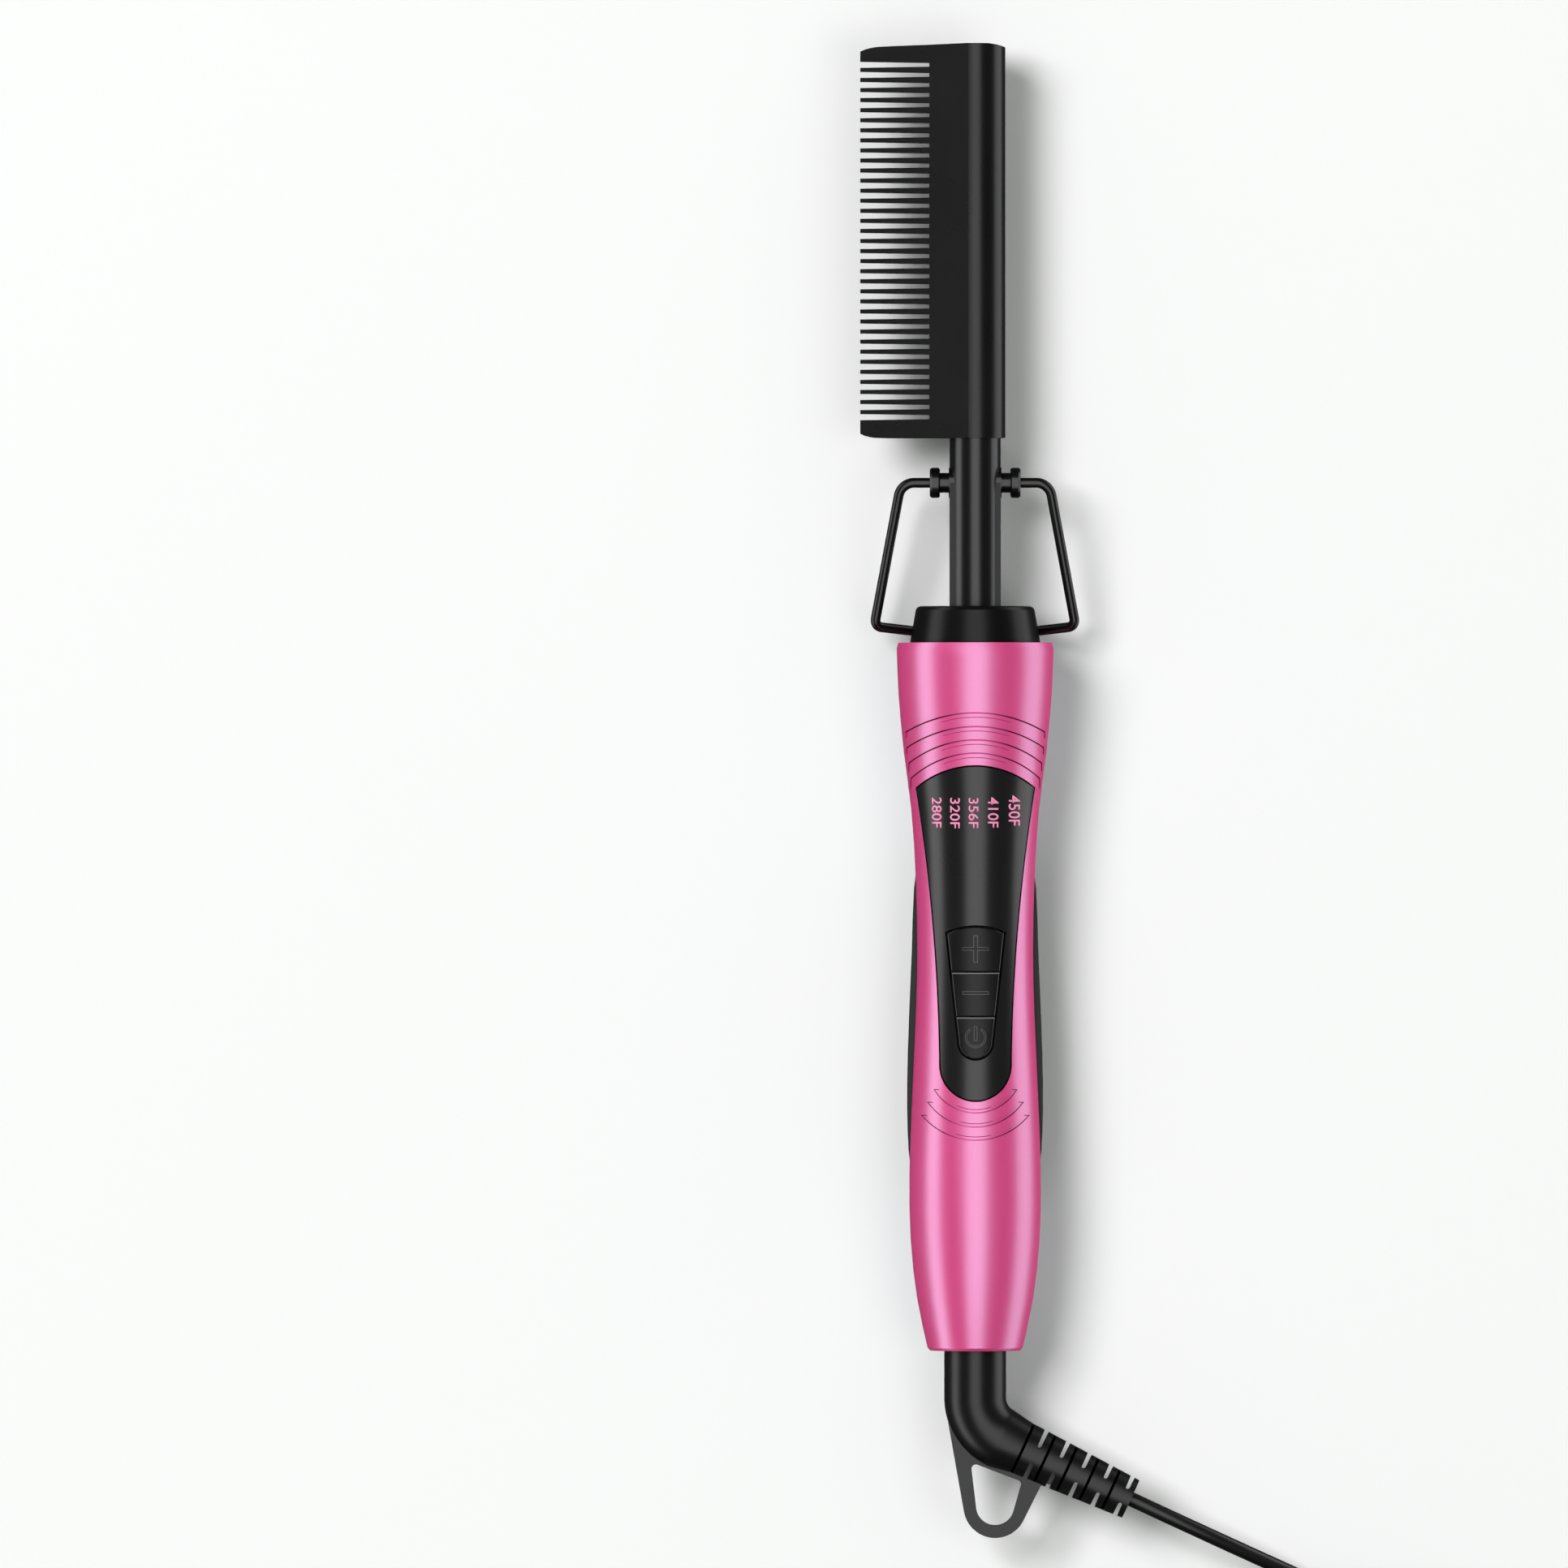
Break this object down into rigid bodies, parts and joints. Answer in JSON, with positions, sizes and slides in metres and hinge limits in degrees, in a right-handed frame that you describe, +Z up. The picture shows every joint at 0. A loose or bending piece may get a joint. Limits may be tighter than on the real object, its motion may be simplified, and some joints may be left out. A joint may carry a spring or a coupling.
{
  "type": "hot comb",
  "caption": "Electric hot comb: heated wedge of fine teeth, folding wire stand, flared pink handle with a key panel, swivelling ribbed strain relief with hanging loop, coiled mains lead.",
  "frame": {"origin": "middle of the base of the box round the tool without its lead, on the surface it lies on", "axes": "+Y along the handle towards the comb, +Z up out of the keys, -X where the teeth point"},
  "size_m": [0.126, 0.3688, 0.0319],
  "materials": {
    "head": "black ceramic coating, satin",
    "ceramic": "matte ceramic",
    "sensor": "dull",
    "sleeved_lead": "woven glass sleeve",
    "neck": "black satin paint",
    "studs": "black gloss paint",
    "stand_wire": "black gloss paint",
    "black_plastic": "fine satin",
    "key_plastic": "satin",
    "pink_shell": "pearl gloss",
    "grip": "matte",
    "white_plastic": "smooth",
    "switch_case": "smooth",
    "board": "satin",
    "led": "diffusing",
    "chip": "matte",
    "film_case": "glossy",
    "can_sleeve": "glossy",
    "tinned": "dull",
    "lead_jacket": "matte",
    "holder_board": "satin",
    "contact": "bright",
    "screws": "zinc plated",
    "rotor_plastic": "smooth",
    "relief_rubber": "satin",
    "cord": "satin",
    "tie": "woven",
    "plug": "fine grain",
    "blades": "nickel plated"
  },
  "bodies": {
    "handle": {"comb_head": "head", "heater_rod": "ceramic", "thermistor": "sensor", "heater_leads": "sleeved_lead", "neck_tube": "neck", "stand_bracket": "neck", "pivot_studs": "studs", "collar": "black_plastic", "front_shell": "pink_shell", "rear_shell": "pink_shell", "rear_grip": "grip", "control_panel": "black_plastic", "tact_switches": "switch_case", "circuit_board": "board", "indicator_leds": "led", "control_chip": "chip", "triac": "chip", "film_capacitor": "film_case", "smoothing_capacitor": "can_sleeve", "thermal_fuse": "tinned", "supply_leads": "lead_jacket", "brush_holder": "holder_board", "brush_springs": "contact", "handle_screws": "screws"},
    "stand": {"stand_bail": "stand_wire"},
    "plus_key": {"key_plus": "key_plastic", "plunger_plus": "white_plastic"},
    "minus_key": {"key_minus": "key_plastic", "plunger_minus": "white_plastic"},
    "power_key": {"key_power": "key_plastic", "plunger_power": "white_plastic"},
    "swivel": {"swivel_rotor": "rotor_plastic", "slip_rings": "contact", "strain_relief": "relief_rubber", "power_cord": "cord", "cord_coil": "cord", "cord_tail": "cord", "cord_tie": "tie", "plug_body": "plug", "plug_blades": "blades"}
  },
  "joints": [
    {"name": "stand_hinge", "type": "hinge", "parent": "handle", "child": "stand", "pos_m": [-0.00506, 0.06325, 0.01585], "axis": [1, 0, 0], "range_deg": [0, 105]},
    {"name": "cord_swivel", "type": "hinge", "parent": "handle", "child": "swivel", "pos_m": [-0.00506, -0.111, 0.01585], "axis": [0, 1, 0], "continuous": true},
    {"name": "plus_press", "type": "slide", "parent": "handle", "child": "plus_key", "axis": [0, 0, -1], "range_m": [0, 0.0005], "stiffness_N_per_m": 2000},
    {"name": "minus_press", "type": "slide", "parent": "handle", "child": "minus_key", "axis": [0, 0, -1], "range_m": [0, 0.0005], "stiffness_N_per_m": 2000},
    {"name": "power_press", "type": "slide", "parent": "handle", "child": "power_key", "axis": [0, 0, -1], "range_m": [0, 0.0005], "stiffness_N_per_m": 2000}
  ]
}
